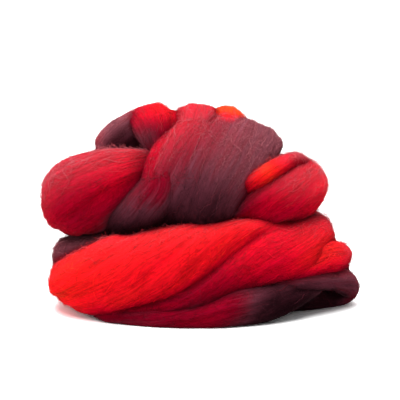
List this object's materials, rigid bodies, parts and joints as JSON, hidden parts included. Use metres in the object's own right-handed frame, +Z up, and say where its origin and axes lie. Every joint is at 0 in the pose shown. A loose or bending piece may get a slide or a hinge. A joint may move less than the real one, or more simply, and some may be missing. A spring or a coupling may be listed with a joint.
{
  "type": "wool roving",
  "caption": "Loose bundle of combed wool roving: a thick soft strand coiled flat, folded back over itself and wrapped at the waist, dyed orange-red, crimson and plum.",
  "frame": {"origin": "on the table, under the middle of the bundle's box", "axes": "+X along the bundle towards its folded plum end, -Y out of its front, +Z up"},
  "size_m": [0.2305, 0.1562, 0.1472],
  "materials": {
    "dyed_wool": "soft matt wool fibre with a slight lustre, shading from orange-red through crimson to plum"
  },
  "bodies": {
    "root": {"roving_bundle": "dyed_wool"}
  },
  "joints": []
}
